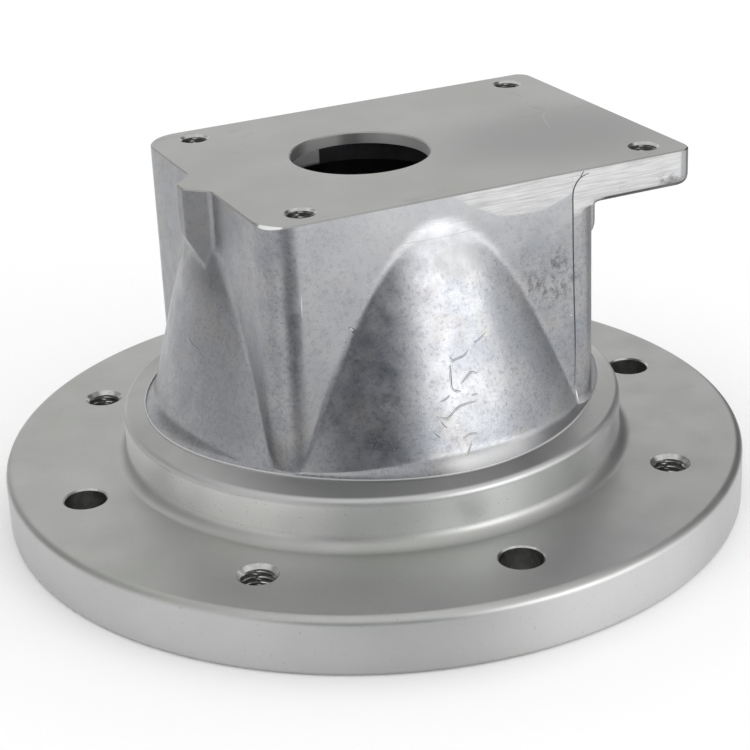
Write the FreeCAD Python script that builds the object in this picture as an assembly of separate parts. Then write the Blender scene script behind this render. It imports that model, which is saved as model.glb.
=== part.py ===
import FreeCAD, Part
import math
import os

# Pump bell housing: one aluminium casting, machined on both ends.
# Z runs along the shaft, from the motor face (z = 0) up to the pump face.
# X runs along the long side of the pump face, Y across it. Millimetres.

# Motor flange
FLANGE_DIAMETER = 200.0
FLANGE_THICKNESS = 15.5
FLANGE_TOP_EDGE_RADIUS = 2.2
FLANGE_BOTTOM_CHAMFER = 1.2
BOLT_CIRCLE_DIAMETER = 165.0
BOLT_COUNT = 4
THREADED_HOLE_START_ANGLE = 45.0
TAPPED_M10_BORE = 8.5
TAPPED_M10_MOUTH = 10.6
CLEARANCE_BORE = 11.0
CLEARANCE_MOUTH = 11.8

# Motor spigot recess in the underside
SPIGOT_DIAMETER = 130.0
SPIGOT_DEPTH = 4.5
SPIGOT_LEAD_IN = 1.0

# Turned collar on the flange
COLLAR_DIAMETER = 134.4
COLLAR_HEIGHT = 12.8
COLLAR_FOOT_RADIUS = 3.5
COLLAR_EDGE_RADIUS = 2.0
LAND_INNER_DIAMETER = 123.8
LAND_RISE = 1.9

# Bell: a cone that meets a rounded block under the pump face
OVERALL_HEIGHT = 95.0
CONE_TOP_DIAMETER = 84.4
CONE_HALF_ANGLE = 14.6
BLOCK_LEFT = 45.0
BLOCK_RIGHT = 46.8
BLOCK_HALF_WIDTH = 43.8
BLOCK_CORNER_RADIUS = 8.2

# Pump mounting plate, overhanging the block on the right
PLATE_RIGHT = 73.8
PLATE_THICKNESS = 9.8
PLATE_CORNER_RADIUS = 4.5
GRINDING_ALLOWANCE = 0.4
UNDERSIDE_EDGE_RADIUS = 2.0
UNDERSIDE_ROOT_RADIUS = 1.5

# Pump interface
PILOT_DIAMETER = 36.5
PILOT_DEPTH = 3.2
PILOT_LEAD_IN = 0.5
PUMP_BOLT_SPACING_X = 96.2
PUMP_BOLT_SPACING_Y = 71.5
PUMP_SHAFT_OFFSET = 15.6
TAPPED_M8_BORE = 6.8
TAPPED_M8_MOUTH = 8.6
TAPPED_M8_DEPTH = 18.0
DRILL_POINT_ANGLE = 118.0

# Locating nub on the left edge of the pump face
NUB_REACH = 5.4
NUB_ROOT_HALF_WIDTH = 7.9
NUB_TIP_HALF_WIDTH = 2.3
NUB_TIP_RADIUS = 1.2
NUB_STRAIGHT_HEIGHT = 13.0
NUB_RUN_OUT_SLOPE = 2.0
NUB_OFFSET_Y = -0.9
NUB_ROOT_RADIUS = 3.5

# Haunch on the right end of the block, carrying the overhang
HAUNCH_REACH = 5.4
HAUNCH_HALF_WIDTH = 32.2
HAUNCH_CORNER_RADIUS = 2.0
HAUNCH_STRAIGHT_HEIGHT = 9.5
HAUNCH_RUN_OUT_SLOPE = 1.4

# Hollow inside the bell
WALL_THICKNESS = 6.0
CAVITY_MOUTH_DIAMETER = 114.0
CAVITY_ROOF_CHAMFER = 4.5
COUPLING_RELIEF_DIAMETER = 50.0

# Lengths below this count as zero
SMALL = 0.01

# Derived positions
flange_radius = FLANGE_DIAMETER / 2
collar_radius = COLLAR_DIAMETER / 2
collar_top = FLANGE_THICKNESS + COLLAR_HEIGHT
land_top = collar_top + LAND_RISE
land_inner_radius = LAND_INNER_DIAMETER / 2
cone_slope = math.tan(math.radians(CONE_HALF_ANGLE))
plate_underside = OVERALL_HEIGHT - PLATE_THICKNESS
cast_half_width = BLOCK_HALF_WIDTH + GRINDING_ALLOWANCE


def cone_radius(height):
    """Radius of the outer cone at a height."""
    return CONE_TOP_DIAMETER / 2 + cone_slope * (OVERALL_HEIGHT - height)


def in_plan(u, v):
    """Map profile coordinates to the XY plane."""
    return FreeCAD.Vector(u, v, 0)


def in_section(u, v):
    """Map profile coordinates to the XZ plane, u being the radius."""
    return FreeCAD.Vector(u, 0, v)


def rounded_face(corners, place):
    """Face from (u, v, radius) corners, each corner rounded by its own radius."""
    starts = []
    arcs = []
    for index, (u, v, radius) in enumerate(corners):
        here = place(u, v)
        before = place(*corners[index - 1][:2])
        after = place(*corners[(index + 1) % len(corners)][:2])
        if radius == 0:
            starts.append((here, here))
            arcs.append(None)
            continue
        back = (before - here).normalize()
        ahead = (after - here).normalize()
        half_angle = back.getAngle(ahead) / 2
        reach = radius / math.tan(half_angle)
        bisector = (back + ahead).normalize()
        middle = here + bisector * (radius / math.sin(half_angle) - radius)
        starts.append((here + back * reach, here + ahead * reach))
        arcs.append(middle)
    edges = []
    for index, (first, last) in enumerate(starts):
        if arcs[index] is not None:
            edges.append(Part.Arc(first, arcs[index], last).toShape())
        following = starts[(index + 1) % len(starts)][0]
        if last.distanceToPoint(following) > SMALL:
            edges.append(Part.makeLine(last, following))
    return Part.Face(Part.Wire(edges))


def turned(corners):
    """Solid of revolution about Z from a section profile."""
    axis_point = FreeCAD.Vector(0, 0, 0)
    axis = FreeCAD.Vector(0, 0, 1)
    return rounded_face(corners, in_section).revolve(axis_point, axis, 360)


def raised(corners, bottom, top):
    """Vertical prism from a plan profile between two heights."""
    face = rounded_face(corners, in_plan)
    face.translate(FreeCAD.Vector(0, 0, bottom))
    return face.extrude(FreeCAD.Vector(0, 0, top - bottom))


def make_bell_outside():
    """Flange, collar, shoulder and cone as one turned form."""
    return turned([
        (0, 0, 0),
        (flange_radius - FLANGE_BOTTOM_CHAMFER, 0, 0),
        (flange_radius, FLANGE_BOTTOM_CHAMFER, 0),
        (flange_radius, FLANGE_THICKNESS, FLANGE_TOP_EDGE_RADIUS),
        (collar_radius, FLANGE_THICKNESS, COLLAR_FOOT_RADIUS),
        (collar_radius, collar_top, COLLAR_EDGE_RADIUS),
        (land_inner_radius, land_top, 0),
        (cone_radius(land_top), land_top, 0),
        (cone_radius(OVERALL_HEIGHT), OVERALL_HEIGHT, 0),
        (0, OVERALL_HEIGHT, 0),
    ])


def make_block():
    """Rounded block whose corners stand out of the cone as four ribs."""
    corner = BLOCK_CORNER_RADIUS
    return raised([
        (-BLOCK_LEFT, -BLOCK_HALF_WIDTH, corner),
        (BLOCK_RIGHT, -BLOCK_HALF_WIDTH, corner),
        (BLOCK_RIGHT, BLOCK_HALF_WIDTH, corner),
        (-BLOCK_LEFT, BLOCK_HALF_WIDTH, corner),
    ], FLANGE_THICKNESS, OVERALL_HEIGHT)


def make_overhang():
    """Plate end beyond the block, rounded below, ground flush at front and back."""
    plate = raised([
        (0, -cast_half_width, 0),
        (PLATE_RIGHT, -cast_half_width, PLATE_CORNER_RADIUS),
        (PLATE_RIGHT, cast_half_width, PLATE_CORNER_RADIUS),
        (0, cast_half_width, 0),
    ], plate_underside, OVERALL_HEIGHT)
    lower_edges = [
        edge for edge in plate.Edges
        if edge.BoundBox.ZMax < OVERALL_HEIGHT - PLATE_THICKNESS / 2
        and edge.BoundBox.XMax > PLATE_CORNER_RADIUS
    ]
    plate = plate.makeFillet(UNDERSIDE_EDGE_RADIUS, lower_edges)
    return plate.common(ground_limits())


def make_root_flare():
    """Fillet between the right end of the block and the underside of the plate."""
    corner = BLOCK_CORNER_RADIUS
    root = UNDERSIDE_ROOT_RADIUS
    section = [
        (corner - root, plate_underside - root, 0),
        (corner, plate_underside - root, 0),
        (corner, plate_underside, root),
        (corner + root, plate_underside, 0),
        (corner + root, plate_underside + root, 0),
        (corner - root, plate_underside + root, 0),
    ]
    axis_x = BLOCK_RIGHT - corner
    axis_y = BLOCK_HALF_WIDTH - corner
    ring = turned(section)
    bar = rounded_face(section, in_section)
    bar.translate(FreeCAD.Vector(axis_x, -axis_y, 0))
    flare = bar.extrude(FreeCAD.Vector(0, 2 * axis_y, 0))
    flare = flare.fuse([ring.translated(in_plan(axis_x, y)) for y in (-axis_y, axis_y)])
    return flare.common(ground_limits())


def ground_limits():
    """Space between the two ground faces, from the shaft axis to the plate end."""
    width = 2 * BLOCK_HALF_WIDTH
    return Part.makeBox(PLATE_RIGHT, width, OVERALL_HEIGHT, in_plan(0, -BLOCK_HALF_WIDTH))


def with_run_out(plan, face_x, tip_x, straight_bottom, slope, top):
    """Upright prism on a block face; below its straight part it leans back into the face."""
    inner_x = 2 * face_x - tip_x
    bottom = straight_bottom - abs(tip_x - face_x) * slope
    near = min(y for _, y, _ in plan)
    far = max(y for _, y, _ in plan)
    side = rounded_face([
        (inner_x, bottom, 0),
        (face_x, bottom, 0),
        (tip_x, straight_bottom, 0),
        (tip_x, top, 0),
        (inner_x, top, 0),
    ], in_section)
    side.translate(FreeCAD.Vector(0, near, 0))
    return raised(plan, bottom, top).common(side.extrude(FreeCAD.Vector(0, far - near, 0)))


def make_nub():
    """Wedge on the left edge, flush with the pump face, running out into the cone."""
    face_x = -BLOCK_LEFT
    tip_x = face_x - NUB_REACH
    inner_x = face_x + NUB_REACH
    half_width = NUB_ROOT_HALF_WIDTH + NUB_ROOT_RADIUS
    plan = [
        (inner_x, NUB_OFFSET_Y + half_width, 0),
        (face_x, NUB_OFFSET_Y + half_width, 0),
        (face_x, NUB_OFFSET_Y + NUB_ROOT_HALF_WIDTH, NUB_ROOT_RADIUS),
        (tip_x, NUB_OFFSET_Y + NUB_TIP_HALF_WIDTH, NUB_TIP_RADIUS),
        (tip_x, NUB_OFFSET_Y - NUB_TIP_HALF_WIDTH, NUB_TIP_RADIUS),
        (face_x, NUB_OFFSET_Y - NUB_ROOT_HALF_WIDTH, NUB_ROOT_RADIUS),
        (face_x, NUB_OFFSET_Y - half_width, 0),
        (inner_x, NUB_OFFSET_Y - half_width, 0),
    ]
    straight_bottom = OVERALL_HEIGHT - NUB_STRAIGHT_HEIGHT
    return with_run_out(plan, face_x, tip_x, straight_bottom, NUB_RUN_OUT_SLOPE, OVERALL_HEIGHT)


def make_haunch():
    """Thickening of the block's right end below the plate."""
    tip_x = BLOCK_RIGHT + HAUNCH_REACH
    inner_x = BLOCK_RIGHT - HAUNCH_REACH
    plan = [
        (inner_x, -HAUNCH_HALF_WIDTH, 0),
        (tip_x, -HAUNCH_HALF_WIDTH, HAUNCH_CORNER_RADIUS),
        (tip_x, HAUNCH_HALF_WIDTH, HAUNCH_CORNER_RADIUS),
        (inner_x, HAUNCH_HALF_WIDTH, 0),
    ]
    straight_bottom = plate_underside - HAUNCH_STRAIGHT_HEIGHT
    return with_run_out(plan, BLOCK_RIGHT, tip_x, straight_bottom, HAUNCH_RUN_OUT_SLOPE, OVERALL_HEIGHT)


def make_cavity():
    """Spigot recess, conical hollow, coupling relief and pilot bore."""
    spigot_radius = SPIGOT_DIAMETER / 2
    mouth_radius = CAVITY_MOUTH_DIAMETER / 2
    roof = plate_underside
    roof_bevel = roof - CAVITY_ROOF_CHAMFER
    inner_offset = WALL_THICKNESS / math.cos(math.radians(CONE_HALF_ANGLE))
    mouth_top = OVERALL_HEIGHT - (mouth_radius + inner_offset - CONE_TOP_DIAMETER / 2) / cone_slope
    roof_radius = cone_radius(roof) - inner_offset
    relief_radius = COUPLING_RELIEF_DIAMETER / 2
    pilot_radius = PILOT_DIAMETER / 2
    pilot_floor = OVERALL_HEIGHT - PILOT_DEPTH
    lead_in = PILOT_LEAD_IN
    return turned([
        (0, 0, 0),
        (spigot_radius + SPIGOT_LEAD_IN, 0, 0),
        (spigot_radius, SPIGOT_LEAD_IN, 0),
        (spigot_radius, SPIGOT_DEPTH, 0),
        (mouth_radius, SPIGOT_DEPTH, 0),
        (mouth_radius, mouth_top, 0),
        (cone_radius(roof_bevel) - inner_offset, roof_bevel, 0),
        (roof_radius - CAVITY_ROOF_CHAMFER, roof, 0),
        (relief_radius, roof, 0),
        (relief_radius, pilot_floor, 0),
        (pilot_radius, pilot_floor, 0),
        (pilot_radius, OVERALL_HEIGHT - lead_in, 0),
        (pilot_radius + lead_in, OVERALL_HEIGHT, 0),
        (0, OVERALL_HEIGHT, 0),
    ])


def bored(bore, mouth, bottom, top, pointed=False):
    """Drill form with a 45 degree mouth at its top, blind ones with a drill point."""
    radius = bore / 2
    mouth_radius = mouth / 2
    profile = [
        (radius, bottom, 0),
        (radius, top - (mouth_radius - radius), 0),
        (mouth_radius, top, 0),
        (0, top, 0),
    ]
    tip = radius / math.tan(math.radians(DRILL_POINT_ANGLE / 2)) if pointed else 0
    return turned([(0, bottom - tip, 0)] + profile)


def flange_holes():
    """Four tapped and four clearance holes, alternating on one bolt circle."""
    tapped = bored(TAPPED_M10_BORE, TAPPED_M10_MOUTH, 0, FLANGE_THICKNESS)
    plain = bored(CLEARANCE_BORE, CLEARANCE_MOUTH, 0, FLANGE_THICKNESS)
    step = 360.0 / BOLT_COUNT
    tools = []
    for index in range(BOLT_COUNT):
        for tool, start in ((tapped, THREADED_HOLE_START_ANGLE), (plain, 0.0)):
            angle = math.radians(start + index * step)
            centre = in_plan(math.cos(angle), math.sin(angle)) * (BOLT_CIRCLE_DIAMETER / 2)
            tools.append(tool.translated(centre))
    return tools


def pump_holes():
    """Tapped holes of the pump bolt rectangle, blind over the block, through the overhang."""
    blind = bored(TAPPED_M8_BORE, TAPPED_M8_MOUTH, OVERALL_HEIGHT - TAPPED_M8_DEPTH, OVERALL_HEIGHT, True)
    through = bored(TAPPED_M8_BORE, TAPPED_M8_MOUTH, plate_underside, OVERALL_HEIGHT)
    half_x = PUMP_BOLT_SPACING_X / 2
    half_y = PUMP_BOLT_SPACING_Y / 2
    tools = []
    for y in (-half_y, half_y):
        tools.append(blind.translated(in_plan(PUMP_SHAFT_OFFSET - half_x, y)))
        tools.append(through.translated(in_plan(PUMP_SHAFT_OFFSET + half_x, y)))
    return tools


def make_housing():
    """The whole casting with its machining."""
    details = [make_block(), make_overhang(), make_root_flare(), make_nub(), make_haunch()]
    casting = make_bell_outside().fuse(details)
    machining = [make_cavity()] + flange_holes() + pump_holes()
    return casting.cut(machining).removeSplitter().Solids[0]


housing = make_housing()
os.makedirs("parts", exist_ok=True)
housing.exportStep("parts/bell_housing.step")
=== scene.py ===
import math

import bpy
import numpy as np
from mathutils import Matrix, Vector


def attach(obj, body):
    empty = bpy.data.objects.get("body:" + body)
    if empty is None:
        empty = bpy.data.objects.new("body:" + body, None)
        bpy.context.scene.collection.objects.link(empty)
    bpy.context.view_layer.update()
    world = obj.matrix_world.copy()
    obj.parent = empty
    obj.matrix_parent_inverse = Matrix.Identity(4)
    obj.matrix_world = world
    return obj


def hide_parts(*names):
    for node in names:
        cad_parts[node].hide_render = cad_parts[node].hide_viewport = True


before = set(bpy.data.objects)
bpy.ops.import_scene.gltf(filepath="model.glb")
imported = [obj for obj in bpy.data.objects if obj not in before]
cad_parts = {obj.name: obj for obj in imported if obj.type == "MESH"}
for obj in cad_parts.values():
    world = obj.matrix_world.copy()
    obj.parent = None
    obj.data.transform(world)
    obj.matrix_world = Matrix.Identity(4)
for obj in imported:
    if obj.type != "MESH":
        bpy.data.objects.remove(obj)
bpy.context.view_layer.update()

# Sizes in millimetres, the same as in the part's source.
FLANGE_RADIUS = 100.0
FLANGE_TOP = 15.5
FLANGE_BOTTOM_EDGE = 1.4
FLANGE_TOP_EDGE = 2.2
BOLT_CIRCLE_RADIUS = 82.5
COLLAR_RADIUS = 67.2
COLLAR_TOP = 28.3
COLLAR_FOOT_FILLET = 3.5
COLLAR_TOP_EDGE = 2.0
LAND_TOP = 30.2
LAND_INNER_RADIUS = 61.9
SPIGOT_RADIUS = 65.0
SPIGOT_DEPTH = 4.5
SPIGOT_CHAMFER = 1.0
TOTAL_HEIGHT = 95.0
CONE_TOP_RADIUS = 42.2
CONE_SLOPE = math.tan(math.radians(14.6))
BLOCK_LEFT = -45.0
BLOCK_RIGHT = 46.8
BLOCK_HALF_WIDTH = 43.8
BLOCK_CORNER = 8.2
BLOCK_CORNER_BACK_LEFT = 10.0
PLATE_RIGHT = 73.8
PLATE_BOTTOM = 85.2
PLATE_CORNER = 4.5
PLATE_CAST_HALF_WIDTH = 44.2
NUB_REACH = 5.4
NUB_Y = -0.9
NUB_ROOT_HALF = 7.9
NUB_TIP_HALF = 2.3
NUB_ROOT_FILLET = 3.5
NUB_TIP_ROUND = 1.2
NUB_STRAIGHT_BOTTOM = 82.0
NUB_RUN_OUT_SLOPE = 2.0
HAUNCH_REACH = 5.4
HAUNCH_HALF_WIDTH = 32.2
HAUNCH_TIP_ROUND = 2.0
HAUNCH_STRAIGHT_BOTTOM = 75.7
HAUNCH_RUN_OUT_SLOPE = 1.4
PILOT_RADIUS = 18.25
PILOT_BOTTOM = 91.8
RELIEF_RADIUS = 25.0
CAVITY_MOUTH_RADIUS = 57.0
CAVITY_OFFSET = 6.2
CAVITY_ROOF_BEVEL = 4.5
PUMP_HOLE_X = (-32.5, 63.7)
PUMP_HOLE_Y = 35.75
PUMP_HOLE_DEPTH = 18.0
PUMP_HOLE_POINT = 2.0

# Bore and mouth radius of each kind of hole, with the pitch and depth of its thread.
PLAIN_HOLE = {"bore": 5.5, "mouth": 5.9, "sides": 48}
M10_HOLE = {"bore": 4.25, "mouth": 5.3, "pitch": 1.5, "depth": 0.85}
M8_HOLE = {"bore": 3.4, "mouth": 4.05, "pitch": 1.25, "depth": 0.7, "sides": 28}
THREAD_SAMPLES = 6
THREAD_CREST = 0.15
THREAD_FLANK = 2.4
# How far a cutter stands out of the metal, and the radius where a drill point ends.
CUT_MARGIN = 1.0
POINT_RADIUS = 0.02

# Edges as the casting and the machining left them. The front left corner is broken wider, over
# a spread in degrees about its angle round the axis.
EDGE_BREAK = 0.35
CORNER_BREAK = 0.45
CORNER_BREAK_AT = -137.0
CORNER_BREAK_SPREAD = 3.0
STEEPEST_SLANT = 1.8
BORE_CHAMFER = 0.35
BORE_EDGE = 0.5
CREASE_BLEND = 0.6
WAVE_HEIGHT = 0.012
WALL_MEAN_RADIUS = 50
ROOT_RADIUS = 1.5
UNDER_EDGE_RADIUS = 2.6
# Lip left by the turning tool where the turned land ends, and the cast foot behind it.
LIP_PROFILE = ((61.35, 30.4), (61.25, 30.9), (61.05, 31.0), (60.9, 30.7))
LIP_SHIFT = 0.1
LIP_LOBES = 1.1
LIP_OFF_CENTRE = 0.38
FOOT_RADIUS = 60.75
FOOT_BOTTOM = 30.75
FOOT_HEIGHT = (0.8, 4.0)
FOOT_LEAST_FLARE = 0.08
# A groove's width at its ends, as a share of its full width.
GROOVE_END = 0.35
# Where the parting line runs down the front face, which also ends the plate's ground side.
PARTING_X = 37.7

# Rows and columns of the grid: steps round the axis in degrees, finer ones at the corners,
# rings up the foot and the wall, turns round the plate's under edge in radians, and rings up
# the plate's side in millimetres above its underside.
ANGLE_START = -168.0
ANGLE_STEP = 0.8
FINER_STEPS = ((25, 27, 0.42), (27, 36, 0.25), (36, 52, 0.42), (128, 144, 0.42), (167, 191, 0.42))
FOOT_ROWS = 9
WALL_ROWS = 62
ROOT_ROWS = 5
UNDER_EDGE_TURNS = (0.0, 0.35, 0.65, 0.927, 1.2, math.pi / 2)
PLATE_SIDE_ROWS = (2.6, 3.2, 3.8, 4.4, 5.0, 7.0)
RING_GAP = 0.02
OUTLINE_STEP = 0.1
# Cosine of the angle round the axis past which each side form lies.
NUB_SECTOR = -0.95
HAUNCH_SECTOR = 0.8
PLATE_SECTOR = 0.4

# Camera solved from the photograph, in degrees and millimetres, and in pixels of the image.
CAMERA_AZIMUTH = -24.434
CAMERA_ELEVATION = 22.099
CAMERA_ROLL = -2.667
CAMERA_DISTANCE = 518.312
CAMERA_TARGET = (0, 0, 50)
IMAGE_SIZE = 750
FOCAL_LENGTH_PIXELS = 1930.723
CENTRE_X_PIXELS = 367.402
CENTRE_Y_PIXELS = 312.509
SENSOR_WIDTH = 36.0

MM = 0.001
SHARP_ANGLE = 32
TURNED, CAST, MILLED, INSIDE, THREAD, GROOVE_SHADE = range(6)

# Marks cut into the skin: (radius, lift, material, [places]). A groove that is lifted is shallow
# and wide. Flow lines on the cone, in degrees round the axis and height.
CONE_LINES = [
    (0.42, 0.82, CAST, [(-84.4, 59.0), (-83.1, 59.2), (-80.0, 60.5)]),
    (0.45, 0.75, CAST, [(-86.7, 57.5), (-88.5, 56.4), (-90.7, 56.1), (-91.9, 55.9)]),
    (0.40, 0.80, CAST, [(-92.4, 57.0), (-91.7, 55.3)]),
    (0.45, 0.78, CAST, [(-92.6, 55.2), (-92.9, 52.4), (-93.0, 49.5), (-91.7, 48.5), (-90.6, 48.3)]),
    (0.45, 0.75, CAST, [(-90.3, 50.0), (-88.5, 51.3), (-86.9, 52.1), (-85.1, 51.6)]),
    (0.40, 0.80, CAST, [(-96.7, 46.7), (-95.4, 47.0), (-93.8, 47.9)]),
    (0.40, 0.80, CAST, [(-87.6, 46.7), (-85.8, 46.6)]),
    (0.45, 0.76, CAST, [(-97.2, 43.0), (-95.1, 42.6), (-92.6, 44.3), (-90.6, 44.9), (-86.7, 45.0)]),
    (0.40, 0.82, CAST, [(-97.1, 41.7), (-96.0, 40.3)]),
    (0.40, 0.82, CAST, [(-99.2, 39.4), (-97.8, 38.2)]),
    (0.42, 0.80, CAST, [(-91.9, 36.8), (-89.8, 37.6), (-87.6, 37.3)]),
    (0.40, 0.84, CAST, [(-91.7, 32.9), (-90.7, 33.9), (-89.6, 35.6)]),
    (0.40, 0.84, CAST, [(-76.9, 39.2), (-76.4, 37.5)]),
    (0.40, 0.80, CAST, [(-175.2, 55.7), (-172.4, 54.9), (-169.6, 54.7), (-164.9, 51.9)]),
]
# The parting line with its fork, a chip and a bare dent on the front face, in x and height.
FRONT_LINES = [
    (0.20, 0.0, GROOVE_SHADE, [(42.5, 93.8), (39.9, 92.9), (38.4, 91.1), (37.8, 88.8), (37.8, 83.6), (37.8, 76.9),
                       (38.0, 63.6), (38.3, 49.5), (38.2, 36.8)]),
    (0.13, 0.0, GROOVE_SHADE, [(41.0, 94.6), (40.4, 93.7), (39.6, 92.5)]),
    (0.40, 0.3, THREAD, [(-24.9, 66.8), (-24.0, 65.8), (-23.0, 64.6)]),
    (0.30, 0.5, THREAD, [(37.0, 56.8), (37.3, 56.6), (37.6, 56.4)]),
]
# A scratch on the pump face, in x and y.
TOP_LINES = [
    (0.50, 0.86, CAST, [(58.8, 27.7), (60.5, 24.2), (59.6, 18.1), (57.6, 12.0), (59.3, 7.2), (55.7, 1.5),
                        (52.1, -8.3)]),
]


# Outlines and profiles

def rounded_path(corners, closed=False):
    """Points along corners (u, v, radius, segments), each corner rounded with an arc."""
    points = []
    last = len(corners) - 1
    for index, (u, v, radius, segments) in enumerate(corners):
        here = Vector((u, v))
        if radius == 0 or (not closed and index in (0, last)):
            points.append((u, v))
            continue
        back = (Vector(corners[index - 1][:2]) - here).normalized()
        ahead = (Vector(corners[(index + 1) % len(corners)][:2]) - here).normalized()
        half = back.angle(ahead) / 2
        reach = radius / math.tan(half)
        centre = here + (back + ahead).normalized() * (radius / math.sin(half))
        first = here + back * reach - centre
        turn = first.angle_signed(here + ahead * reach - centre)
        for step in range(segments + 1):
            points.append(tuple(centre + Matrix.Rotation(-turn * step / segments, 2) @ first))
    return points


def polar(corners, angles):
    """Reach from the axis, at each angle, of a closed outline given by its corners."""
    outline = rounded_path(corners, True)
    dense = []
    for index, start in enumerate(outline):
        end = outline[(index + 1) % len(outline)]
        steps = max(1, int(math.dist(start, end) / OUTLINE_STEP))
        for step in range(steps):
            share = step / steps
            dense.append((start[0] + (end[0] - start[0]) * share,
                          start[1] + (end[1] - start[1]) * share))
    x, y = np.array(dense).T
    return np.interp(angles, np.arctan2(y, x), np.hypot(x, y), period=2 * math.pi)


def spread_angles():
    """Angles round the axis in radians, closer together where the outline turns."""
    angles = []
    angle = ANGLE_START
    while angle < ANGLE_START + 360 - 1e-6:
        angles.append(math.radians(angle))
        mirrored = abs((angle + 180) % 360 - 180)
        steps = [step for low, high, step in FINER_STEPS
                 if low <= mirrored <= high or low <= angle <= high]
        angle += min(steps, default=ANGLE_STEP)
    return np.array(angles)


def block_corners():
    return [
        (BLOCK_LEFT, -BLOCK_HALF_WIDTH, BLOCK_CORNER, 24),
        (BLOCK_RIGHT, -BLOCK_HALF_WIDTH, BLOCK_CORNER, 24),
        (BLOCK_RIGHT, BLOCK_HALF_WIDTH, BLOCK_CORNER, 24),
        (BLOCK_LEFT, BLOCK_HALF_WIDTH, BLOCK_CORNER_BACK_LEFT, 24),
    ]


def nub_corners():
    tip = BLOCK_LEFT - NUB_REACH
    beside = 6
    return [
        (-BLOCK_LEFT, 0, 0, 0),
        (BLOCK_LEFT, NUB_Y + NUB_ROOT_HALF + beside, 0, 0),
        (BLOCK_LEFT, NUB_Y + NUB_ROOT_HALF, NUB_ROOT_FILLET, 8),
        (tip, NUB_Y + NUB_TIP_HALF, NUB_TIP_ROUND, 8),
        (tip, NUB_Y - NUB_TIP_HALF, NUB_TIP_ROUND, 8),
        (BLOCK_LEFT, NUB_Y - NUB_ROOT_HALF, NUB_ROOT_FILLET, 8),
        (BLOCK_LEFT, NUB_Y - NUB_ROOT_HALF - beside, 0, 0),
    ]


def right_corners(right, half, radius, segments):
    """A box from the axis to the right, with both right corners rounded."""
    return [(-1, -half, 0, 0), (right, -half, radius, segments), (right, half, radius, segments),
            (-1, half, 0, 0)]


# The housing: one closed grid of rings (radius, height, material), outside then inside

def cone_radius(height):
    return CONE_TOP_RADIUS + CONE_SLOPE * (TOTAL_HEIGHT - height)


def smooth_max(a, b, blend):
    overlap = np.maximum(blend - np.abs(a - b), 0)
    return np.maximum(a, b) + overlap ** 2 / (4 * blend)


def cast_waves(angles, height):
    """Slow unevenness of a die cast wall, from waves along its mean circle and up its height."""
    around = angles * WALL_MEAN_RADIUS
    wave = np.sin(around / 7 + height / 9) * np.sin(height / 6 + 1.3)
    wave += 0.7 * np.sin(around / 4.3 - height / 5 + 2) * np.sin(height / 11 + around / 13)
    wave += 0.5 * np.sin(around / 2.6 + 0.4 * np.sin(height / 4)) * np.sin(height / 3.4 + 0.7)
    return WAVE_HEIGHT * wave


class Forms:
    """Forms of the housing, each as its reach from the axis at every angle round it."""

    def __init__(self, angles):
        self.angles = angles
        self.flat = np.ones_like(angles)
        self.rightward = np.cos(angles)
        haunch = right_corners(BLOCK_RIGHT + HAUNCH_REACH, HAUNCH_HALF_WIDTH, HAUNCH_TIP_ROUND, 8)
        self.block = polar(block_corners(), angles)
        self.nub = np.where(self.rightward < NUB_SECTOR, polar(nub_corners(), angles), 0)
        self.haunch = np.where(self.rightward > HAUNCH_SECTOR, polar(haunch, angles), 0)
        # Front and back are ground flush with the block.
        self.ground = BLOCK_HALF_WIDTH / np.maximum(np.abs(np.sin(angles)), 0.01)
        self.edge = np.maximum(np.maximum(self.plate(0), self.nub), np.maximum(self.block, self.haunch))
        # The lip and the cast foot reach out between the ribs and draw in at them.
        between_ribs = np.cos(4 * angles)
        self.lip_shift = LIP_SHIFT + LIP_LOBES * between_ribs
        self.lip_shift += LIP_OFF_CENTRE * (self.rightward - np.sin(angles))
        low, high = FOOT_HEIGHT
        self.foot_height = low + (high - low) * (1 + between_ribs) / 2

    def run_out(self, face, reach, straight_bottom, slope, height):
        """How far a form that leans back into its face reaches from the axis."""
        left = reach - np.maximum(straight_bottom - height, 0) / slope
        return (face + left) / np.maximum(np.abs(self.rightward), 0.1)

    def wall(self, height):
        """Outside of the cast wall: cone, block, nub and haunch blended."""
        height = height * self.flat
        nub_limit = self.run_out(-BLOCK_LEFT, NUB_REACH, NUB_STRAIGHT_BOTTOM, NUB_RUN_OUT_SLOPE, height)
        haunch_limit = self.run_out(BLOCK_RIGHT, HAUNCH_REACH, HAUNCH_STRAIGHT_BOTTOM,
                                    HAUNCH_RUN_OUT_SLOPE, height)
        shape = np.maximum(self.block, np.minimum(self.nub, nub_limit))
        shape = np.maximum(shape, np.minimum(self.haunch, haunch_limit))
        return smooth_max(cone_radius(height), shape, CREASE_BLEND)

    def plate(self, inset):
        """Outline of the overhanging plate, drawn in from its cast edge."""
        corners = right_corners(PLATE_RIGHT - inset, PLATE_CAST_HALF_WIDTH - inset,
                                PLATE_CORNER - inset, 20)
        outline = np.where(self.rightward > PLATE_SECTOR, polar(corners, self.angles), 0)
        return np.minimum(outline, self.ground)

    def round_rings(self, points, material):
        """Plain circles at (radius, height) points."""
        return [(radius * self.flat, height * self.flat, material) for radius, height in points]


def turned_rings(forms):
    """Flange, collar, land and lip, from the spigot recess up."""
    *profile, land_end = rounded_path([
        (SPIGOT_RADIUS + SPIGOT_CHAMFER, 0, 0, 0),
        (FLANGE_RADIUS, 0, FLANGE_BOTTOM_EDGE, 3),
        (FLANGE_RADIUS, FLANGE_TOP, FLANGE_TOP_EDGE, 6),
        (COLLAR_RADIUS, FLANGE_TOP, COLLAR_FOOT_FILLET, 7),
        (COLLAR_RADIUS, COLLAR_TOP, COLLAR_TOP_EDGE, 6),
        (LAND_INNER_RADIUS, LAND_TOP, 0, 0),
    ])
    rings = forms.round_rings(profile, TURNED)
    for radius, height in (land_end, *LIP_PROFILE):
        rings.append((radius + forms.lip_shift, height * forms.flat, TURNED))
    return rings


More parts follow.
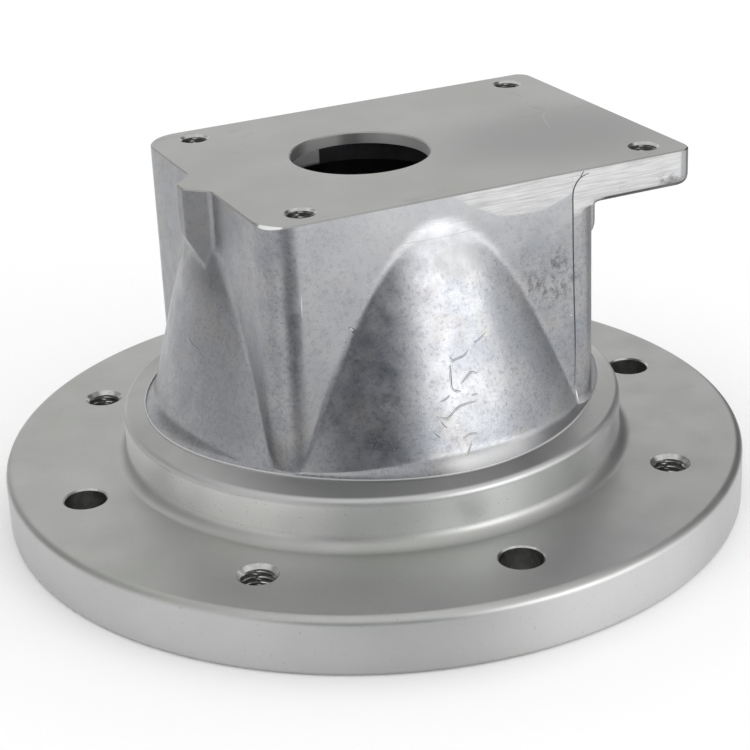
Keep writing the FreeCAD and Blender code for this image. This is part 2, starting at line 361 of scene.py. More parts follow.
def foot_rings(forms):
    """Cast foot, flaring out to the lip."""
    flare = np.maximum(FOOT_RADIUS + forms.lip_shift - forms.wall(FOOT_BOTTOM), FOOT_LEAST_FLARE)
    rings = []
    for share in np.linspace(0, 1, FOOT_ROWS) ** 1.5:
        height = FOOT_BOTTOM + forms.foot_height * share
        rings.append((forms.wall(height) + flare * (1 - share) ** 3, height, CAST))
    return rings


def wall_rings(forms):
    """Cast wall from the foot to the root of the plate."""
    bottom = FOOT_BOTTOM + forms.foot_height
    top = PLATE_BOTTOM - 2 * ROOT_RADIUS
    rings = []
    for share in np.linspace(0, 1, WALL_ROWS + 1)[1:]:
        height = bottom + (top - bottom) * share
        calm = math.sin(math.pi * share) ** 0.5
        rings.append((forms.wall(height) + calm * cast_waves(forms.angles, height), height, CAST))
    return rings


def plate_rings(forms):
    """From the wall out under the plate, where it overhangs, and up its side."""
    root = forms.wall(PLATE_BOTTOM - ROOT_RADIUS)
    reach = np.zeros_like(forms.angles)
    rings = []
    for turn in np.linspace(0, math.pi / 2, ROOT_ROWS):
        height = PLATE_BOTTOM - ROOT_RADIUS * (1 - math.sin(turn))
        fillet = np.minimum(root + ROOT_RADIUS * (1 - math.cos(turn)), forms.plate(0))
        reach = np.maximum(reach, fillet)
        rings.append((np.maximum(reach, forms.wall(height)), height * forms.flat, CAST))
    for turn in UNDER_EDGE_TURNS:
        height = PLATE_BOTTOM + UNDER_EDGE_RADIUS * (1 - math.cos(turn))
        reach = np.maximum(reach, forms.plate(UNDER_EDGE_RADIUS * (1 - math.sin(turn))))
        rings.append((np.maximum(reach, forms.wall(height)), (height + RING_GAP) * forms.flat, CAST))
    for rise in PLATE_SIDE_ROWS:
        height = PLATE_BOTTOM + rise
        rings.append((np.maximum(forms.edge, forms.wall(height)), height * forms.flat, CAST))
    return rings


def edge_rings(forms):
    """Broken edge of the pump face."""
    edge = forms.edge
    slant = np.gradient(np.concatenate([edge[-1:], edge, edge[:1]]))[1:-1]
    slant /= edge * np.gradient(forms.angles)
    from_corner = np.degrees(forms.angles) - CORNER_BREAK_AT
    depth = EDGE_BREAK + CORNER_BREAK * np.exp(-(from_corner / CORNER_BREAK_SPREAD) ** 2)
    # The break is as wide on a slanting wall as on one square to the radius.
    inset = depth * np.minimum(np.hypot(1, slant), STEEPEST_SLANT)
    return [(edge, TOTAL_HEIGHT - depth, CAST), (edge - inset, TOTAL_HEIGHT * forms.flat, MILLED)]


def inner_rings(forms):
    """Pilot bore, relief, hollow and spigot recess, from the top down."""
    mouth_top = TOTAL_HEIGHT - (CAVITY_MOUTH_RADIUS + CAVITY_OFFSET - CONE_TOP_RADIUS) / CONE_SLOPE
    bevel_bottom = PLATE_BOTTOM - CAVITY_ROOF_BEVEL
    edge = [(PILOT_RADIUS + BORE_CHAMFER, TOTAL_HEIGHT), (PILOT_RADIUS, TOTAL_HEIGHT - BORE_CHAMFER)]
    bore = [(PILOT_RADIUS, TOTAL_HEIGHT - BORE_EDGE), (PILOT_RADIUS, PILOT_BOTTOM)]
    hollow = [
        (RELIEF_RADIUS, PILOT_BOTTOM),
        (RELIEF_RADIUS, PLATE_BOTTOM),
        (cone_radius(PLATE_BOTTOM) - CAVITY_OFFSET - CAVITY_ROOF_BEVEL, PLATE_BOTTOM),
        (cone_radius(bevel_bottom) - CAVITY_OFFSET, bevel_bottom),
        (CAVITY_MOUTH_RADIUS, mouth_top),
        (CAVITY_MOUTH_RADIUS, SPIGOT_DEPTH),
    ]
    recess = [(SPIGOT_RADIUS, SPIGOT_DEPTH), (SPIGOT_RADIUS, SPIGOT_CHAMFER)]
    rings = []
    for points, material in ((edge, MILLED), (bore, THREAD), (hollow, INSIDE), (recess, TURNED)):
        rings += forms.round_rings(points, material)
    return rings


def new_mesh(name, points, faces, materials):
    """Mesh in metres from points in millimetres, with a material index for each face."""
    mesh = bpy.data.meshes.new(name)
    mesh.from_pydata((np.array(points) * MM).tolist(), [], faces)
    mesh.polygons.foreach_set("material_index", materials)
    return mesh


def housing_mesh():
    """The rings joined into one skin, closed both ways."""
    angles = spread_angles()
    forms = Forms(angles)
    rings = []
    for make_rings in (turned_rings, foot_rings, wall_rings, plate_rings, edge_rings, inner_rings):
        rings += make_rings(forms)
    radius = np.array([ring[0] for ring in rings])
    height = np.array([ring[1] for ring in rings])
    points = np.stack([radius * np.cos(angles), radius * np.sin(angles), height], axis=-1)
    rows, columns = radius.shape
    faces = []
    materials = []
    for row in range(rows):
        above = (row + 1) % rows
        for column in range(columns):
            beside = (column + 1) % columns
            faces.append((row * columns + column, row * columns + beside,
                          above * columns + beside, above * columns + column))
            materials.append(max(rings[row][2], rings[above][2]))
    return new_mesh("housing", points.reshape(-1, 3), faces, materials)


# Holes and grooves, cut with closed tubes

def tube_mesh(name, points, sides, material):
    """Tube through rows of as many points as it has sides, closed at both ends."""
    last = len(points) // sides - 1
    faces = [tuple(reversed(range(sides)))]
    for row in range(last):
        for side in range(sides):
            beside = (side + 1) % sides
            faces.append((row * sides + side, row * sides + beside,
                          (row + 1) * sides + beside, (row + 1) * sides + side))
    faces.append(tuple(range(last * sides, (last + 1) * sides)))
    return new_mesh(name, points, faces, [material] * len(faces))


def thread_groove(phase):
    """Share of a thread's depth at a share of its pitch, none on the crest."""
    return min(1.0, THREAD_FLANK * max(0.0, 1 - abs(2 * phase - 1) - THREAD_CREST))


def hole_mesh(name, bottom, top, bore, mouth, pitch=0.0, depth=0.0, point=0.0, sides=32):
    """Cutter for a hole with a countersunk mouth, threaded where pitch isn't zero."""
    rows = [(bore, bottom, False)]
    if point:
        rows.insert(0, (POINT_RADIUS, bottom - point, False))
    thread_top = top - (mouth - bore)
    if pitch:
        count = int((thread_top - bottom) / pitch * THREAD_SAMPLES)
        for index in range(1, count):
            rows.append((bore, bottom + (thread_top - bottom) * index / count, True))
    rows += [(bore, thread_top, False), (mouth, top, False), (mouth, top + CUT_MARGIN, False)]
    points = []
    for radius, height, threaded in rows:
        for side in range(sides):
            angle = 2 * math.pi * side / sides
            groove = thread_groove((height / pitch - side / sides) % 1.0) if threaded else 0.0
            reach = radius + depth * groove
            points.append((reach * math.cos(angle), reach * math.sin(angle), height))
    return tube_mesh(name, points, sides, THREAD)


def hole_cutters():
    """(mesh, x, y) of every hole."""
    plain = hole_mesh("plain_hole", -CUT_MARGIN, FLANGE_TOP, **PLAIN_HOLE)
    tapped = hole_mesh("m10_hole", -CUT_MARGIN, FLANGE_TOP, **M10_HOLE)
    blind = hole_mesh("m8_blind_hole", TOTAL_HEIGHT - PUMP_HOLE_DEPTH, TOTAL_HEIGHT,
                      point=PUMP_HOLE_POINT, **M8_HOLE)
    through = hole_mesh("m8_hole", PLATE_BOTTOM - CUT_MARGIN, TOTAL_HEIGHT, **M8_HOLE)
    cutters = []
    for index in range(4):
        for mesh, start in ((plain, 0), (tapped, 45)):
            angle = math.radians(start + 90 * index)
            cutters.append((mesh, BOLT_CIRCLE_RADIUS * math.cos(angle),
                            BOLT_CIRCLE_RADIUS * math.sin(angle)))
    for y in (-PUMP_HOLE_Y, PUMP_HOLE_Y):
        cutters.append((blind, PUMP_HOLE_X[0], y))
        cutters.append((through, PUMP_HOLE_X[1], y))
    return cutters


def smooth_line(points, steps=5):
    """Catmull-Rom curve through flat points."""
    points = [Vector(point) for point in points]
    padded = [2 * points[0] - points[1]] + points + [2 * points[-1] - points[-2]]
    line = []
    for a, b, c, d in zip(padded, padded[1:], padded[2:], padded[3:]):
        for step in range(steps):
            t = step / steps
            line.append(0.5 * (2 * b + (c - a) * t + (2 * a - 5 * b + 4 * c - d) * t ** 2
                               + (3 * b - a - 3 * c + d) * t ** 3))
    return line + [points[-1]]


def on_cone(degrees, height):
    """Point of the cone and its normal."""
    lean = math.atan(CONE_SLOPE)
    outward = Vector((math.cos(math.radians(degrees)), math.sin(math.radians(degrees)), 0))
    up = Vector((0, 0, 1))
    return outward * cone_radius(height) + up * height, outward * math.cos(lean) + up * math.sin(lean)


def on_front(x, height):
    """Point of the front face and its normal."""
    return Vector((x, -BLOCK_HALF_WIDTH, height)), Vector((0, -1, 0))


def on_top(x, y):
    """Point of the pump face and its normal."""
    return Vector((x, y, TOTAL_HEIGHT)), Vector((0, 0, 1))


def groove_mesh(surface, line, radius, lift, material, sides=12):
    """Cutter for a groove along a line on a surface, thin at both ends."""
    places = [surface(*point) for point in smooth_line(line)]
    last = len(places) - 1
    points = []
    for index, (point, normal) in enumerate(places):
        along = places[min(index + 1, last)][0] - places[max(index - 1, 0)][0]
        side = along.cross(normal).normalized()
        fullness = min(1, 2.0 * math.sin(math.pi * index / last))
        reach = radius * (GROOVE_END + (1 - GROOVE_END) * fullness)
        for corner in range(sides):
            turn = 2 * math.pi * corner / sides
            off = normal * (math.cos(turn) + lift) + side * math.sin(turn)
            points.append(point + off * reach)
    mesh = tube_mesh("groove", points, sides, material)
    mesh.validate()
    return mesh


def groove_cutters():
    """(mesh, x, y) of every groove."""
    cutters = []
    for surface, lines in ((on_cone, CONE_LINES), (on_front, FRONT_LINES), (on_top, TOP_LINES)):
        for radius, lift, material, line in lines:
            cutters.append((groove_mesh(surface, line, radius, lift, material), 0, 0))
    return cutters


def cut_holes(piece):
    """Cuts every hole and groove into the piece and keeps the result as its mesh."""
    cutters = []
    for mesh, x, y in hole_cutters() + groove_cutters():
        cutter = bpy.data.objects.new("cutter", mesh)
        cutter.location = (x * MM, y * MM, 0)
        bpy.context.scene.collection.objects.link(cutter)
        modifier = piece.modifiers.new("hole", "BOOLEAN")
        modifier.operation = "DIFFERENCE"
        modifier.solver = "MANIFOLD"
        modifier.object = cutter
        cutters.append(cutter)
    graph = bpy.context.evaluated_depsgraph_get()
    result = bpy.data.meshes.new_from_object(piece.evaluated_get(graph))
    piece.modifiers.clear()
    piece.data = result
    for cutter in cutters:
        bpy.data.objects.remove(cutter)


# Materials, placed in object coordinates in millimetres

class Nodes:
    """Short way to write a node tree: each call adds a node and returns it or its output."""

    def __init__(self, name):
        self.material = bpy.data.materials.new(name)
        self.material.use_nodes = True
        self.tree = self.material.node_tree
        self.tree.nodes.clear()

    def add(self, kind, inputs, **settings):
        """Node with its inputs linked or set. A colour is three numbers."""
        node = self.tree.nodes.new("ShaderNode" + kind)
        for key, value in settings.items():
            setattr(node, key, value)
        for key, value in inputs.items():
            socket = node.inputs[key]
            if isinstance(value, bpy.types.NodeSocket):
                self.tree.links.new(value, socket)
            elif socket.type == "RGBA":
                socket.default_value = (*value, 1)
            else:
                socket.default_value = value
        return node

    def place(self, scale=(1, 1, 1), rotation=(0, 0, 0)):
        """Object coordinates in millimetres, stretched by scale."""
        where = self.add("TexCoord", {}).outputs["Object"]
        size = [value / MM for value in scale]
        return self.add("Mapping", {"Vector": where, "Scale": size, "Rotation": rotation}).outputs[0]

    def where(self):
        """Object coordinates x, y and z in millimetres, one output each."""
        return self.add("SeparateXYZ", {"Vector": self.place()}).outputs

    def math(self, operation, first, second=0.0):
        return self.add("Math", {0: first, 1: second}, operation=operation).outputs[0]

    def product(self, *factors):
        result = factors[0]
        for factor in factors[1:]:
            result = self.math("MULTIPLY", result, factor)
        return result

    def near(self, offsets):
        """Distance from a point, in radii: offsets are (output, centre, radius)."""
        total = 0.0
        for output, centre, radius in offsets:
            share = self.math("DIVIDE", self.math("SUBTRACT", output, centre), radius)
            total = self.math("ADD", self.product(share, share), total)
        return self.math("SQRT", total)

    def noise(self, scale, detail=3.0, rough=0.5, vector=None):
        inputs = {"Vector": vector or self.place(), "Scale": scale, "Detail": detail, "Roughness": rough}
        return self.add("TexNoise", inputs).outputs[0]

    def ramp(self, value, low, high, out_low=0.0, out_high=1.0):
        """Smooth step from out_low where value is low to out_high where it is high."""
        inputs = {"Value": value, "From Min": low, "From Max": high, "To Min": out_low, "To Max": out_high}
        return self.add("MapRange", inputs, interpolation_type="SMOOTHSTEP").outputs[0]

    def blend(self, factor, first, second):
        """First colour where factor is 0, second where it is 1."""
        return self.add("Mix", {0: factor, 6: first, 7: second}, data_type="RGBA").outputs[2]

    def bump(self, height, distance, normal=None):
        inputs = {"Height": height, "Distance": distance * MM, "Strength": 1.0}
        if normal:
            inputs["Normal"] = normal
        return self.add("Bump", inputs).outputs[0]

    def finish(self, shader):
        self.add("OutputMaterial", {"Surface": shader.outputs[0]})
        return self.material

    def metal(self, colour, roughness, normal=None):
        inputs = {"Metallic": 1.0, "Base Color": colour, "Roughness": roughness}
        if normal:
            inputs["Normal"] = normal
        return self.finish(self.add("BsdfPrincipled", inputs))


def turned_material():
    """Turned flange, collar and land, each lighter or darker round the axis as in the photo, through
    painted light and shade.
    """
    n = Nodes("turned_aluminium")
    x, y, z = n.where()
    aside = n.math("ABSOLUTE", x)
    patches = n.ramp(n.noise(0.03, 4, 0.6), 0.35, 0.65)
    colour = n.blend(patches, (0.395, 0.402, 0.382), (0.42, 0.423, 0.416))
    # Painted light on the flange top at the front left.
    front_left_painted_light = n.product(n.ramp(y, -60.0, -85.0), n.ramp(x, 20.0, -30.0))
    colour = n.blend(front_left_painted_light, colour, (0.46, 0.465, 0.45))

    # Painted light and shade on the flange's rim, round the axis.
    rim_painted_light = n.blend(n.ramp(aside, 30.0, 80.0), (0.44, 0.445, 0.44), (0.53, 0.535, 0.53))
    rim_painted_light = n.blend(n.ramp(x, -30.0, 10.0), rim_painted_light, (0.61, 0.615, 0.61))
    rim_painted_light = n.blend(n.ramp(x, 35.0, 60.0), rim_painted_light, (0.53, 0.535, 0.53))
    colour = n.blend(n.ramp(z, FLANGE_TOP - 0.6, FLANGE_TOP - 1.9), colour, rim_painted_light)

    # Painted light and shade on the collar round the axis, lightest on the left.
    collar = n.blend(n.ramp(x, -28.0, -50.0), (0.70, 0.71, 0.70), (0.97, 0.97, 0.95))
    collar = n.blend(n.ramp(x, 0.0, 20.0), collar, (0.50, 0.51, 0.50))
    collar = n.blend(n.ramp(x, 24.0, 44.0), collar, (0.80, 0.81, 0.80))
    colour = n.blend(n.ramp(z, FLANGE_TOP + 1.5, FLANGE_TOP + 4.0), colour, collar)
    # Painted shade on the collar's rounded top edge.
    colour = n.blend(n.ramp(z, COLLAR_TOP - 2.0, COLLAR_TOP - 0.7), colour, (0.50, 0.505, 0.50))

    # Painted light and shade on the land round the axis, darkest at the front and lightest on the right.
    land = n.blend(n.ramp(aside, 20.0, 60.0), (0.225, 0.23, 0.225), (0.39, 0.39, 0.385))
    land = n.blend(n.ramp(x, 12.0, 34.0), land, (0.62, 0.62, 0.61))
    colour = n.blend(n.ramp(z, COLLAR_TOP, COLLAR_TOP + 0.5), colour, land)
    colour = n.blend(n.ramp(z, LAND_TOP + 0.4, LAND_TOP + 0.7), colour, (0.62, 0.62, 0.62))

    specks = n.ramp(n.noise(1.6, 2, 0.6), 0.66, 0.76)
    colour = n.blend(n.product(specks, 0.6), colour, (0.26, 0.26, 0.25))
    tool_marks = n.add("TexWave", {"Vector": n.place(), "Scale": 0.9, "Distortion": 0.6, "Detail": 2.0,
                                   "Detail Scale": 0.4},
                       wave_type="RINGS", rings_direction="Z").outputs["Fac"]
    normal = n.bump(n.noise(2.5, 3), 0.005, n.bump(tool_marks, 0.003))
    return n.metal(colour, n.ramp(n.noise(0.08, 4), 0.3, 0.7, 0.42, 0.50), normal)


def skin_colour(n, where, front):
    """Mottled die cast skin, with painted light high on the front face and on its flat part, and painted
    shade on the left face.
    """
    x, y, z = where
    broad = n.ramp(n.noise(0.07, 4, 0.6), 0.35, 0.65)
    colour = n.blend(broad, (0.29, 0.30, 0.32), (0.36, 0.362, 0.37))
    warm = n.ramp(n.noise(0.11, 3, 0.5), 0.52, 0.68)
    colour = n.blend(n.product(warm, 0.45), colour, (0.34, 0.32, 0.31))
    mottle = n.ramp(n.noise(0.9, 5, 0.7), 0.47, 0.66)
    colour = n.blend(n.product(mottle, 0.6), colour, (0.19, 0.20, 0.225))
    fine = n.ramp(n.noise(2.6, 3, 0.6), 0.54, 0.72)
    colour = n.blend(n.product(fine, 0.5), colour, (0.50, 0.505, 0.52))
    # Painted light high on the front face.
    upper_front_painted_light = n.product(n.ramp(z, 72.0, 92.0), front, n.ramp(x, -40.0, 0.0))
    colour = n.blend(n.product(upper_front_painted_light, 0.55), colour, (0.48, 0.485, 0.495))
    # Painted light on the flat front face, up to x = 26.
    before_cone = n.ramp(y, -BLOCK_HALF_WIDTH - 0.6, -BLOCK_HALF_WIDTH - 0.25)
    plain = n.product(front, before_cone, n.ramp(x, 26.0, 12.0))
    colour = n.blend(n.product(plain, 0.2), colour, (0.60, 0.605, 0.62))
    # Painted shade on the left face.
    left = n.ramp(x, BLOCK_LEFT + 1.0, BLOCK_LEFT + 0.1)
    return n.blend(n.product(left, 0.25), colour, (0.20, 0.20, 0.21))


def pitted_skin(n, where):
    """Mask of the pitted skin near the top right of the front face."""
    x, y, z = where
    pits = n.ramp(n.noise(0.6, 6, 0.75, n.place((1, 1, 0.6))), 0.44, 0.62)
    ragged = n.ramp(n.noise(0.16, 3, 0.6), 0.3, 0.7, -0.35, 0.35)
    spread = n.near([(x, 30.0, 13.0), (y, -BLOCK_HALF_WIDTH, 6.0), (z, 67.5, 11.0)])
    return n.product(pits, n.ramp(n.math("ADD", spread, ragged), 1.0, 0.15))


def painted_light_and_cast_marks(n, where, foot, colour):
    """Painted light and shade, and marks, at single places on the cast wall."""
    x, y, z = where
    # Painted shade at the cone's apex under the front face.
    apex_painted_shade = n.ramp(n.near([(x, 3.0, 22.0), (y, -46.0, 4.0), (z, 84.0, 8.0)]), 1.0, 0.3)
    colour = n.blend(n.product(apex_painted_shade, 0.45), colour, (0.20, 0.203, 0.21))
    # Greyer patch high on the front of the cone.
    patch = n.ramp(n.near([(x, 4.5, 8.5), (y, -46.0, 5.0), (z, 78.8, 4.6)]), 1.0, 0.7)
    colour = n.blend(n.product(patch, 0.5), colour, (0.26, 0.262, 0.26))
    # Fine bright scratch beside the left rib.
    scratch = n.ramp(n.near([(x, -36.9, 0.14), (y, -BLOCK_HALF_WIDTH, 1.5), (z, 74.6, 3.5)]), 1.0, 0.5)
    colour = n.blend(n.product(scratch, 0.8), colour, (0.8, 0.8, 0.8))
    # Bright burr where the parting line ends at the foot of the right rib.
    slanted = n.math("ADD", x, n.product(z, 0.2))
    burr = n.ramp(n.near([(slanted, 45.6, 0.22), (y, -43.5, 4.5), (z, 33.2, 3.0)]), 1.0, 0.5)
    colour = n.blend(burr, colour, (0.95, 0.95, 0.95))
    # Painted highlight on the foot right of the front's middle, brightest near the middle.
    foot_painted_highlight = n.blend(n.ramp(x, 12.0, 26.0), (0.98, 0.98, 0.98), (0.44, 0.44, 0.45))
    colour = n.blend(n.product(foot, 0.8), colour, foot_painted_highlight)
    # Painted shade on the nub's flanks, darker than the faces beside it.
    nub = n.product(n.ramp(x, BLOCK_LEFT - 0.3, BLOCK_LEFT - 1.0), n.ramp(z, 66.0, 72.0))
    return n.blend(n.product(nub, 0.5), colour, (0.15, 0.15, 0.15))


def plate_finish_and_painted_shade(n, where, front, colour):
    """Ground band along the front edge, painted shade on the plate's end and under edge, and a stain."""
    x, y, z = where
    # The band hangs lower at both ends, with a wavy border, and takes in the whole plate.
    centred = n.math("SUBTRACT", x, 25.0)
    border = n.math("ADD", n.product(centred, centred, 0.02), PLATE_BOTTOM + 0.4)
    wander = n.product(n.noise(0.25, 3, 0.6, n.place((1, 1, 0.2))), 1.6)
    above = n.ramp(n.math("SUBTRACT", z, n.math("ADD", border, wander)), -0.5, 0.4)
    end = n.ramp(x, PLATE_RIGHT - 4.4, PLATE_RIGHT - 3.6)
    on_block = n.product(above, n.ramp(x, PARTING_X + 0.3, PARTING_X - 0.3))
    on_plate = n.product(n.ramp(x, PARTING_X - 0.3, PARTING_X + 0.3),
                         n.ramp(z, PLATE_BOTTOM - 2.7, PLATE_BOTTOM - 0.7), n.math("SUBTRACT", 1.0, end))
    ground = n.product(front, n.math("MAXIMUM", on_block, on_plate))
    brushed = n.noise(1.0, 4, 0.65, n.place((0.10, 1.0, 2.4), (0, math.radians(4), 0)))
    bright = n.blend(n.ramp(brushed, 0.3, 0.7), (0.43, 0.43, 0.435), (0.60, 0.60, 0.60))
    # Painted shade on the plate's rounded end.
    colour = n.blend(n.product(end, 0.3), colour, (0.16, 0.16, 0.165))
    colour = n.blend(ground, colour, bright)
    # Painted shade along the plate's under edge where it overhangs.
    behind = n.product(n.ramp(y, -BLOCK_HALF_WIDTH + 0.01, -BLOCK_HALF_WIDTH + 0.08),
                       n.ramp(y, -BLOCK_HALF_WIDTH + 3.3, -BLOCK_HALF_WIDTH + 1.8))
    low = n.product(n.ramp(z, PLATE_BOTTOM - 2.2, PLATE_BOTTOM - 1.2),
                    n.ramp(z, PLATE_BOTTOM + 2.0, PLATE_BOTTOM + 1.6))
    colour = n.blend(n.product(behind, low, n.ramp(x, 45.0, 48.0)), colour, (0.08, 0.08, 0.08))
    stain = n.near([(x, 66.8, 4.2), (z, 86.0, 3.6)])
    blotch = n.math("ADD", stain, n.ramp(n.noise(0.7, 5, 0.7), 0.2, 0.8, -0.6, 0.6))
    return n.blend(n.product(n.ramp(blotch, 1.1, 0.2), front, 0.8), colour, (0.17, 0.17, 0.165))


def cast_material():
    n = Nodes("die_cast_skin")
    where = n.where()
    x, y, z = where
    front = n.ramp(y, -BLOCK_HALF_WIDTH + 0.4, -BLOCK_HALF_WIDTH + 0.1)
    foot = n.product(n.ramp(z, 34.0, 31.5), n.ramp(x, -12.0, -2.0))
    pitted = pitted_skin(n, where)
    colour = skin_colour(n, where, front)
    # The pits are painted dark, as painted shade in them, besides their bump.
    colour = n.blend(n.product(pitted, 0.75), colour, (0.135, 0.133, 0.135))
    colour = painted_light_and_cast_marks(n, where, foot, colour)
    colour = plate_finish_and_painted_shade(n, where, front, colour)
    relief = n.bump(n.noise(0.9, 4, 0.6), 0.016)
    relief = n.bump(n.noise(2.4, 3, 0.6), 0.014, relief)
    relief = n.bump(n.noise(1.0, 3, 0.6, n.place((0.35, 0.35, 2.2))), 0.008, relief)
    relief = n.bump(pitted, 0.05, relief)
    rough = n.ramp(n.noise(0.2, 4), 0.3, 0.7, 0.27, 0.36)
    return n.metal(colour, n.math("ADD", rough, n.product(foot, 0.15)), relief)


def milled_material():
    """Pump face and its edge, with a painted highlight on the front left corner."""
    n = Nodes("milled_aluminium")
    x, y, z = n.where()
    patches = n.ramp(n.noise(0.025, 3, 0.6), 0.35, 0.65)
    colour = n.blend(patches, (0.335, 0.336, 0.32), (0.37, 0.371, 0.366))
    shade = n.ramp(n.near([(x, 50.0, 52.0), (y, -14.0, 36.0)]), 1.0, 0.2)
    colour = n.blend(shade, colour, (0.265, 0.266, 0.263))
    stains = n.ramp(n.noise(0.09, 5, 0.7, n.place((0.5, 1, 1))), 0.60, 0.72)
    colour = n.blend(n.product(stains, 0.35), colour, (0.25, 0.25, 0.235))
    # Painted highlight on the edge break of the front left corner.
    corner = n.ramp(n.near([(x, -43.0, 3.8), (y, -41.0, 3.8)]), 1.0, 0.7)
    below_face = n.ramp(z, TOTAL_HEIGHT - 0.02, TOTAL_HEIGHT - 0.1)
    colour = n.blend(n.product(corner, below_face), colour, (0.80, 0.80, 0.80))
    mill_marks = n.noise(3.0, 2, 0.6, n.place((0.15, 1, 1)))
    return n.metal(colour, 0.36, n.bump(mill_marks, 0.004))


def inside_material():
    """Hollow painted dark as painted shade, with a painted lit patch on the relief's wall that shows
    through the bore.
    """
    n = Nodes("cast_inside")
    x, y, z = n.where()
    # The hollow is painted dark, as painted shade.
    colour = n.blend(n.ramp(n.noise(0.1, 4), 0.35, 0.65), (0.07, 0.07, 0.075), (0.11, 0.11, 0.12))
    # Painted light: a lit patch on the relief's wall.
    bare = n.product(n.ramp(x, -0.7, -1.1), n.ramp(y, 10.0, 12.0),
                     n.ramp(z, PLATE_BOTTOM - 0.3, PLATE_BOTTOM + 1.0))
    colour = n.blend(bare, colour, (0.95, 0.95, 0.95))
    return n.metal(colour, 0.5, n.bump(n.noise(0.5, 4, 0.6), 0.05))


def thread_material():
    """Cut threads and hole walls. The pilot bore's wall is duller, with painted light and shade in parts
    of it.
    """
    n = Nodes("cut_thread")
    x, y, _ = n.where()
    colour = n.blend(n.ramp(n.noise(0.6, 3), 0.4, 0.6), (0.46, 0.46, 0.45), (0.56, 0.56, 0.55))
    # Painted shade and light round the pilot bore's wall.
    wall = n.blend(n.ramp(n.near([(x, 5.2, 4.5)]), 1.0, 0.2), (0.46, 0.46, 0.455), (0.26, 0.26, 0.255))
    wall = n.blend(n.ramp(x, -7.0, -12.0), wall, (0.26, 0.26, 0.255))
    wall = n.blend(n.ramp(x, 9.0, 14.0), wall, (0.64, 0.64, 0.635))
    bore = n.ramp(n.near([(x, 0.0, 20.0), (y, 0.0, 20.0)]), 1.05, 0.98)
    colour = n.blend(bore, colour, wall)
    return n.metal(colour, n.ramp(bore, 0.0, 1.0, 0.28, 0.7), n.bump(n.noise(4.0, 2), 0.006))


# Painted shade: dark colour in the parting line's grooves.
def groove_shade_material():
    return Nodes("painted_shade_in_grooves").metal((0.16, 0.16, 0.165), 0.5)


def make_housing():
    """The object's only piece, cut, shaded and standing in for the solid."""
    mesh = housing_mesh()
    housing = bpy.data.objects.new("housing_skin", mesh)
    bpy.context.scene.collection.objects.link(housing)
    for make_material in (turned_material, cast_material, milled_material, inside_material,
                          thread_material, groove_shade_material):
        mesh.materials.append(make_material())
    cut_holes(housing)
    mesh = housing.data
    mesh.polygons.foreach_set("use_smooth", [True] * len(mesh.polygons))
    mesh.set_sharp_from_angle(angle=math.radians(SHARP_ANGLE))
    weighted = housing.modifiers.new("weighted_normals", "WEIGHTED_NORMAL")
    weighted.keep_sharp = True
    weighted.weight = 60
    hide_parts("bell_housing")
    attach(housing, "root")


# Studio, in metres: white floor and surroundings, cards that only reflections see, one softbox

def toward(azimuth, distance, height):
    """Point at an azimuth from the front (-Y) towards the right (+X)."""
    angle = math.radians(azimuth)
    return Vector((distance * math.sin(angle), -distance * math.cos(angle), height))


def flat_quad(name, corners, colour):
    """Matt panel that belongs to the stage."""
    paint = Nodes(name + "_paint")
    mesh = bpy.data.meshes.new(name)
    mesh.from_pydata(corners, [], [(0, 1, 2, 3)])
    mesh.materials.append(paint.finish(paint.add("BsdfDiffuse", {"Color": colour})))
    quad = bpy.data.objects.new(name, mesh)
    bpy.context.scene.collection.objects.link(quad)
    return quad


def reflector(name, corners, colour):
    """Panel that only reflections see."""
    panel = flat_quad(name, corners, colour)
    panel.visible_camera = False
    panel.visible_diffuse = False
    panel.visible_shadow = False


def card(name, azimuth, width, distance, bottom, top, colour):
    """Upright card that faces the object."""
    side = toward(azimuth + 90, width / 2, 0)
    low = toward(azimuth, distance, bottom)
    high = toward(azimuth, distance, top)
    reflector(name, [low - side, low + side, high + side, high - side], colour)


def floor_card(name, left, right, near, far, colour):
    """Card that lies just above the floor, between two azimuths."""
    above_floor = 0.001
    places = ((left, near), (right, near), (right, far), (left, far))
    corners = [toward(azimuth, distance, above_floor) for azimuth, distance in places]
    reflector(name, corners, colour)


def area_light(name, azimuth, distance, height, size, power):
    """Softbox aimed at the middle of the object."""
    data = bpy.data.lights.new(name, "AREA")
    data.shape = "RECTANGLE"
    data.size, data.size_y = size
    data.energy = power
    light = bpy.data.objects.new(name, data)
    light.location = toward(azimuth, distance, height)
    aim = Vector(CAMERA_TARGET) * MM - light.location
    light.rotation_euler = aim.to_track_quat("-Z", "Y").to_euler()
    bpy.context.scene.collection.objects.link(light)


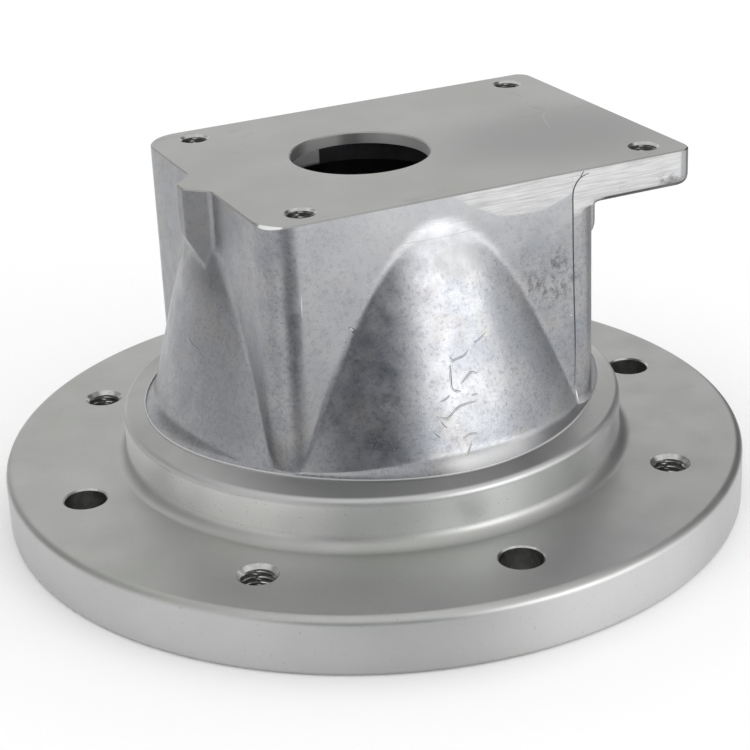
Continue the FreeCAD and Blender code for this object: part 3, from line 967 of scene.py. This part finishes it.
def make_studio():
    reach = 4.0
    flat_quad("floor", [(-reach, -reach, 0), (reach, -reach, 0), (reach, reach, 0), (-reach, reach, 0)],
              (1.0, 1.0, 1.0))
    world = bpy.data.worlds.new("studio")
    world.use_nodes = True
    world.node_tree.nodes["Background"].inputs["Color"].default_value = (1, 1, 1, 1)
    world.node_tree.nodes["Background"].inputs["Strength"].default_value = 1.0
    bpy.context.scene.world = world
    card("camera_side_card", -29, 0.54, 0.6, 0.0, 0.22, (0.045, 0.055, 0.075))
    floor_card("front_floor_card", -38, 3, 0.155, 0.32, (0.05, 0.06, 0.075))
    floor_card("left_floor_card", -92, -60, 0.16, 0.36, (0.75, 0.75, 0.76))
    floor_card("right_floor_card", 74, 128, 0.15, 0.50, (0.52, 0.52, 0.52))
    card("right_card", 98, 0.5, 0.5, 0.0, 0.6, (0.12, 0.12, 0.125))
    card("left_card", -125, 0.6, 0.5, 0.02, 0.5, (0.43, 0.43, 0.43))
    area_light("key_softbox", 26, 1.0, 0.18, (0.8, 0.42), 2.7)


def make_camera():
    """Pinhole camera with a slight roll, shifted so that it frames the object as the photograph does."""
    azimuth, elevation, roll = (
        math.radians(value) for value in (CAMERA_AZIMUTH, CAMERA_ELEVATION, CAMERA_ROLL))
    back = Vector((math.sin(azimuth) * math.cos(elevation),
                   -math.cos(azimuth) * math.cos(elevation), math.sin(elevation)))
    right = Vector((math.cos(azimuth), math.sin(azimuth), 0))
    up = back.cross(right)
    tilted_right = right * math.cos(roll) + up * math.sin(roll)
    tilted_up = up * math.cos(roll) - right * math.sin(roll)
    data = bpy.data.cameras.new("camera")
    data.sensor_width = SENSOR_WIDTH
    data.lens = FOCAL_LENGTH_PIXELS / IMAGE_SIZE * SENSOR_WIDTH
    data.shift_x = (IMAGE_SIZE / 2 - CENTRE_X_PIXELS) / IMAGE_SIZE
    data.shift_y = -(IMAGE_SIZE / 2 - CENTRE_Y_PIXELS) / IMAGE_SIZE
    data.clip_start = 0.01
    camera = bpy.data.objects.new("camera", data)
    turn = Matrix((tilted_right, tilted_up, back)).transposed()
    place = (Vector(CAMERA_TARGET) + back * CAMERA_DISTANCE) * MM
    camera.matrix_world = Matrix.Translation(place) @ turn.to_4x4()
    bpy.context.scene.collection.objects.link(camera)
    bpy.context.scene.camera = camera


make_housing()
make_studio()
make_camera()
bpy.context.scene.view_settings.view_transform = "Standard"
